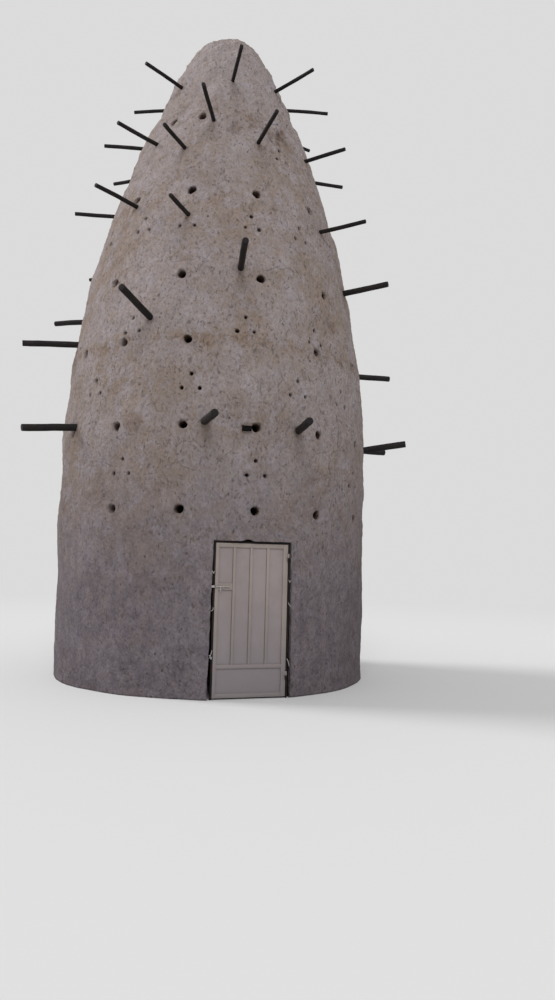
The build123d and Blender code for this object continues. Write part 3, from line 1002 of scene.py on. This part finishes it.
def pole(inner, outer, radius, seed):
    """One slightly bent pole with sawn, rounded ends."""
    length = (outer - inner).length
    bm = bmesh.new()
    grain = bm.verts.layers.float_vector.new("grain")
    bmesh.ops.create_cone(
        bm, cap_ends=True, cap_tris=False, segments=18,
        radius1=radius * 0.98, radius2=radius * 0.94, depth=length,
    )
    long_edges = [e for e in bm.edges if abs(e.verts[0].co.z - e.verts[1].co.z) > length / 2]
    bmesh.ops.subdivide_edges(bm, edges=long_edges, cuts=26)
    rims = [e for e in bm.edges if len({len(face.verts) > 4 for face in e.link_faces}) == 2]
    bmesh.ops.bevel(
        bm, geom=rims, offset=radius * 0.14, segments=3, affect="EDGES", profile=0.5, material=-1
    )
    for vert in bm.verts:
        vert.co.z += length / 2
        vert[grain] = vert.co + Vector((seed * 1.3, seed * 0.7, seed * 2.1))
        x, y, z = vert.co
        knots = noise.noise((x * 8, y * 8, z * 5 + seed * 9))
        bark = noise.noise((x * 60, y * 60, z * 12 + seed))
        swell = 1 + 0.07 * knots + 0.03 * bark
        sway = 0.018 * max(0.0, z / length - 0.25)
        vert.co.x = x * swell + sway * noise.noise((seed * 5.1, 0.3, z * 1.6))
        vert.co.y = y * swell + sway * noise.noise((seed * 3.3, 7.7, z * 1.6))
    laid(bm, inner, outer - inner)
    return mesh_of(bm, "pole")


class TOWER_OT_perch_poles(Operator):
    """Make the tiers of timber perches"""

    bl_idname = "tower.perch_poles"
    bl_label = "Perch poles"

    def execute(self, context):
        for tier, node in enumerate(PERCH_TIERS):
            poles = [pole(*ends, 20 * tier + i) for i, ends in enumerate(pole_ends(node))]
            name = node.replace("perches", "perch_poles")
            piece_of(joined(*poles), name, "perch_timber", "tower", node, crisp=False)
        return {"FINISHED"}


def merged(node):
    """A copy of a CAD node's mesh with its corners and flat faces joined up."""
    bm = joined(NODES[node].data)
    bmesh.ops.remove_doubles(bm, verts=bm.verts, dist=1e-6)
    bmesh.ops.dissolve_limit(bm, angle_limit=radians(1), verts=bm.verts, edges=bm.edges)
    return bm


def rounded(bm, offset, segments=2):
    """Rounds every sharp edge of a shape."""
    sharp = [e for e in bm.edges if e.is_manifold and e.calc_face_angle() > radians(35)]
    bmesh.ops.bevel(
        bm, geom=sharp, offset=offset, segments=segments, affect="EDGES",
        profile=0.5, material=-1, clamp_overlap=True,
    )
    return bm


class TOWER_OT_timber_end(Operator):
    """Make the sawn timber end beside an entrance"""

    bl_idname = "tower.timber_end"
    bl_label = "Timber end"

    def execute(self, context):
        bm = rounded(merged("timber_end"), 0.008, 3)
        bmesh.ops.subdivide_edges(bm, edges=bm.edges[:], cuts=3, use_grid_fill=True)
        grain = bm.verts.layers.float_vector.new("grain")
        for vert in bm.verts:
            vert[grain] = Vector((vert.co.x, vert.co.z, -vert.co.y))
            vert.co += Vector((1, 0, 1)) * 0.003 * noise.noise(vert.co * 40)
        piece_of(bm, "sawn_timber_end", "end_timber", "tower", "timber_end")
        return {"FINISHED"}


# Steel

def bar(low, high, taper=0.0):
    """A steel bar between two corners, its outer face narrowed by a taper, with round edges."""
    bm = bmesh.new()
    bmesh.ops.create_cube(bm, size=1)
    middle = (Vector(low) + Vector(high)) / 2
    size = Vector(high) - Vector(low)
    for vert in bm.verts:
        narrow = taper if vert.co.y < 0 else 0
        vert.co *= Vector((max(size.x - 2 * narrow, 0), size.y, size.z))
        vert.co += middle
    rounded(bm, min(door().edge_round, 0.3 * min(size)))
    return mesh_of(bm, "bar")


def rod(start, end, radius, unevenness=0.0):
    """A round rod or weld bead between two points."""
    way = Vector(end) - Vector(start)
    bm = bmesh.new()
    bmesh.ops.create_cone(
        bm, cap_ends=True, segments=10, radius1=radius, radius2=radius, depth=way.length
    )
    if unevenness:
        long_edges = [e for e in bm.edges if e.calc_length() > way.length * 0.9]
        cuts = max(2, int(way.length / radius))
        bmesh.ops.subdivide_edges(bm, edges=long_edges, cuts=cuts)
        for vert in bm.verts:
            ripple = noise.noise((0, 0, vert.co.z / radius * 0.8 + start[2] * 50))
            vert.co.x *= 1 + unevenness * ripple
            vert.co.y *= 1 + unevenness * ripple
    laid(bm, (Vector(start) + Vector(end)) / 2, way)
    return mesh_of(bm, "rod")


def wire(points, radius):
    """Rods end to end, with a ball at each bend."""
    bm = joined(*(rod(start, end, radius) for start, end in zip(points, points[1:])))
    for point in points[1:-1]:
        bmesh.ops.create_icosphere(
            bm, subdivisions=2, radius=radius, matrix=Matrix.Translation(point)
        )
    return mesh_of(bm, "wire")


# Pieces in a CAD node's own shape: rounding of the edges, name, finish, body
ROUNDED = {
    "door_frame": (0.0015, "steel_door_frame", "dark_steel", "tower"),
    "hinge_pins": (0.001, "hinge_pin_halves", "dark_steel", "tower"),
    "hinge_knuckles": (0.001, "hinge_knuckle_halves", "cream_paint", "door_leaf"),
    "slide_bolt": (0.0012, "bolt_rod_and_handle", "zinc_steel", "bolt"),
    "bolt_guides": (0.0012, "bolt_straps", "zinc_steel", "door_leaf"),
    "bolt_keep": (0.0012, "bolt_keep_tube", "zinc_steel", "tower"),
}


def rounded_pieces(*nodes):
    for node in nodes:
        offset, name, finish, body = ROUNDED[node]
        piece_of(rounded(merged(node), offset), name, finish, body, node)


class TOWER_OT_door_frame(Operator):
    """Make the steel door frame with its lugs and the bent wires that anchor it"""

    bl_idname = "tower.door_frame"
    bl_label = "Door frame"

    def execute(self, context):
        d = door()
        low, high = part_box("leaf_frame")
        face = low.y
        jamb = high.x + d.frame_gap + 0.5 * d.jamb_width
        wires = []
        for side, height, reach, drop in WIRES:
            points = [
                Vector((side * jamb, face - 0.004, height + 0.03)),
                Vector((side * (jamb + 0.4 * reach), face - 0.022, height)),
                Vector((side * (jamb + reach), face - 0.018, height - drop)),
                Vector((side * (jamb + reach + 0.03), face + 0.04, height - drop - 0.02)),
            ]
            wires.append(wire(points, d.wire_radius))
        rounded_pieces("door_frame")
        piece_of(joined(*wires), "anchor_wires", "zinc_steel", "tower")
        return {"FINISHED"}


def door_panels():
    """Left, right, bottom and top of the upper and the lower panel of the leaf."""
    d = door()
    low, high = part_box("leaf_frame")
    left, right = low.x + d.left_stile, high.x - d.right_stile
    rail = low.z + d.middle_rail_height
    return [
        (left, right, rail + d.middle_rail, high.z - d.top_rail),
        (left, right, low.z + d.bottom_rail, rail),
    ]


def door_tubes():
    """The leaf's welded tubes, with a bead along each weld."""
    low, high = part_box("leaf_frame")
    (left, right, middle_top, upper_top), (_, _, lower_bottom, middle_bottom) = door_panels()
    bars = [bar(low, (left, high.y, high.z)), bar((right, low.y, low.z), high)]
    bead = door().weld_radius
    for bottom, top in (
        (low.z, lower_bottom), (middle_bottom, middle_top), (upper_top, high.z)
    ):
        bars.append(bar((left, low.y + 0.0005, bottom), (right, high.y, top)))
        for x in (left, right):
            for y in (low.y + 0.001, high.y - 0.001):
                bars.append(rod((x, y, bottom + 0.004), (x, y, top - 0.004), bead, 0.5))
    piece_of(joined(*bars), "door_tubes", "cream_paint", "door_leaf", "leaf_frame")


def door_sheets():
    """The leaf's two sheets, dented away from their edges."""
    low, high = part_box("leaf_sheets")
    sheets = []
    for i, (left, right, bottom, top) in enumerate(door_panels()):
        bm = bmesh.new()
        bmesh.ops.create_grid(bm, x_segments=40, y_segments=70, size=0.5)
        for vert in bm.verts:
            x, z = vert.co.x + 0.5, vert.co.y + 0.5
            held = min(1, 8 * min(x, 1 - x, z, 1 - z))
            place = Vector((left + x * (right - left), 0, bottom + z * (top - bottom)))
            dent = noise.fractal(place * 2.6 + Vector((i * 5, 0, 0)), 1.0, 2.0, 3)
            vert.co = place + Vector((0, low.y + held * door().sheet_dent * dent, 0))
        back = bmesh.ops.extrude_face_region(bm, geom=bm.faces[:], use_keep_orig=True)["geom"]
        back = [v for v in back if isinstance(v, bmesh.types.BMVert)]
        bmesh.ops.translate(bm, vec=(0, high.y - low.y, 0), verts=back)
        bmesh.ops.recalc_face_normals(bm, faces=bm.faces)
        sheets.append(mesh_of(bm, "sheet"))
    piece_of(joined(*sheets), "door_sheets", "sheet_paint", "door_leaf", "leaf_sheets")


def door_battens():
    """The folded battens, and a dark strip of painted shadow along one side of each."""
    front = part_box("leaf_sheets")[0].y
    strips, lines = [], []
    for corners in solids_of("leaf_battens"):
        low = Vector([min(c[k] for c in corners) for k in range(3)])
        high = Vector([max(c[k] for c in corners) for k in range(3)])
        strips.append(bar(low, high, taper=0.004))
        # Each strip is painted shadow along the batten's side.
        edge = low.x - door().joint_width
        lines.append(bar((edge, front - 0.0025, low.z), (low.x, front + 0.006, high.z)))
    piece_of(joined(*strips), "door_battens", "cream_paint", "door_leaf", "leaf_battens")
    piece_of(joined(*lines), "batten_joints", "joint_dirt", "door_leaf")


def lock_plate():
    """The flat lock plate with its four rivets."""
    low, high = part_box("lock_rail")
    bm = joined(bar(low, high))
    for x in (low.x + 0.02, high.x - 0.02):
        for z in (low.z + 0.018, high.z - 0.018):
            bmesh.ops.create_uvsphere(
                bm, u_segments=12, v_segments=8, radius=0.005,
                matrix=Matrix.Translation((x, low.y, z)) @ Matrix.Diagonal((1, 0.6, 1, 1)),
            )
    piece_of(bm, "lock_plate", "cream_paint", "door_leaf", "lock_rail")


class TOWER_OT_door_leaf(Operator):
    """Make the leaf: welded tubes, dented sheets, folded battens and the lock plate"""

    bl_idname = "tower.door_leaf"
    bl_label = "Door leaf"

    def execute(self, context):
        door_tubes()
        door_sheets()
        door_battens()
        lock_plate()
        return {"FINISHED"}


class TOWER_OT_hinges(Operator):
    """Make the two lift-off hinges: pins on the jamb and knuckles on the leaf"""

    bl_idname = "tower.hinges"
    bl_label = "Hinges"

    def execute(self, context):
        rounded_pieces("hinge_pins", "hinge_knuckles")
        return {"FINISHED"}


class TOWER_OT_slide_bolt(Operator):
    """Make the slide bolt with its hanging handle, its guides and the keep on the jamb"""

    bl_idname = "tower.slide_bolt"
    bl_label = "Slide bolt"

    def execute(self, context):
        rounded_pieces("slide_bolt", "bolt_guides", "bolt_keep")
        return {"FINISHED"}


# The stage

def studio_floor(s):
    """A pale floor that fades into the backdrop."""
    bm = bmesh.new()
    bmesh.ops.create_grid(bm, x_segments=8, y_segments=8, size=s.floor_size / 2)
    obj = new_object("studio_floor", mesh_of(bm, "studio_floor"))
    f = Finish("studio_floor", s.floor)
    away = f.add("VectorMath", {0: f.space}, operation="LENGTH").outputs["Value"]
    fade = f.times(f.between(away, s.fade_start, s.fade_end), f.looked_at())
    f.mix(fade, f.shader, f.add("Emission", {"Color": s.floor}))
    obj.data.materials.append(f.done(0.9))


def studio_light(scene, s):
    """Even light from all round, a soft main light and one from behind on the left."""
    scene.world = bpy.data.worlds.new("studio")
    world = Nodes(scene.world, "OutputWorld")
    lit = world.add("Background", {"Strength": s.fill})
    world.mix(world.looked_at(), lit, world.add("Background", {"Color": s.floor}))
    for name, strength, spread, turn in (
        ("key_light", s.key, 30, (0.85, 0.0, -0.26)),
        ("side_light", s.rim, 18, (0.95, 0.0, -2.1)),
    ):
        lamp = bpy.data.lights.new(name, "SUN")
        lamp.energy = strength
        lamp.angle = radians(spread)
        new_object(name, lamp).rotation_euler = turn


def studio_camera(scene, s):
    lens = bpy.data.cameras.new("camera")
    lens.sensor_width = 36
    lens.lens = s.lens
    lens.clip_end = 1000
    camera = new_object("camera", lens)
    turn = (
        Matrix.Rotation(s.heading, 4, "Z")
        @ Matrix.Rotation(pi / 2 + s.tilt, 4, "X")
        @ Matrix.Rotation(s.roll, 4, "Z")
    )
    camera.matrix_world = Matrix.Translation(s.camera_place) @ turn
    scene.camera = camera


class TOWER_OT_stage(Operator):
    """Set the floor, the light and the camera"""

    bl_idname = "tower.stage"
    bl_label = "Stage"

    def execute(self, context):
        s = context.scene.stage_settings
        studio_floor(s)
        studio_light(context.scene, s)
        studio_camera(context.scene, s)
        context.scene.view_settings.view_transform = "Standard"
        return {"FINISHED"}


GROUPS = {
    "tower_sizes": TowerSizes,
    "hole_sizes": HoleSizes,
    "door_sizes": DoorSizes,
    "tower_colours": TowerColours,
    "stage_settings": StageSettings,
}
OPERATORS = [
    TOWER_OT_mud_wall,
    TOWER_OT_perch_poles,
    TOWER_OT_timber_end,
    TOWER_OT_door_frame,
    TOWER_OT_door_leaf,
    TOWER_OT_hinges,
    TOWER_OT_slide_bolt,
    TOWER_OT_stage,
]


class TOWER_PT_panel(Panel):
    """Lists the pieces of the tower and their settings"""

    bl_idname = "TOWER_PT_panel"
    bl_label = "Pigeon Tower"
    bl_space_type = "VIEW_3D"
    bl_region_type = "UI"
    bl_category = "Pigeon Tower"

    def draw(self, context):
        for operator in OPERATORS:
            self.layout.operator(operator.bl_idname)
        for group in GROUPS:
            box = self.layout.box()
            settings = getattr(context.scene, group)
            for key in settings.bl_rna.properties.keys():
                if key not in ("rna_type", "name"):
                    box.prop(settings, key)


CLASSES = [*GROUPS.values(), *OPERATORS, TOWER_PT_panel]


def register():
    for cls in CLASSES:
        bpy.utils.register_class(cls)
    for name, group in GROUPS.items():
        setattr(bpy.types.Scene, name, PointerProperty(type=group))


def unregister():
    for name in GROUPS:
        delattr(bpy.types.Scene, name)
    for cls in reversed(CLASSES):
        bpy.utils.unregister_class(cls)


def main():
    register()
    for operator in OPERATORS:
        area, name = operator.bl_idname.split(".")
        getattr(getattr(bpy.ops, area), name)()


if __name__ == "__main__":
    main()
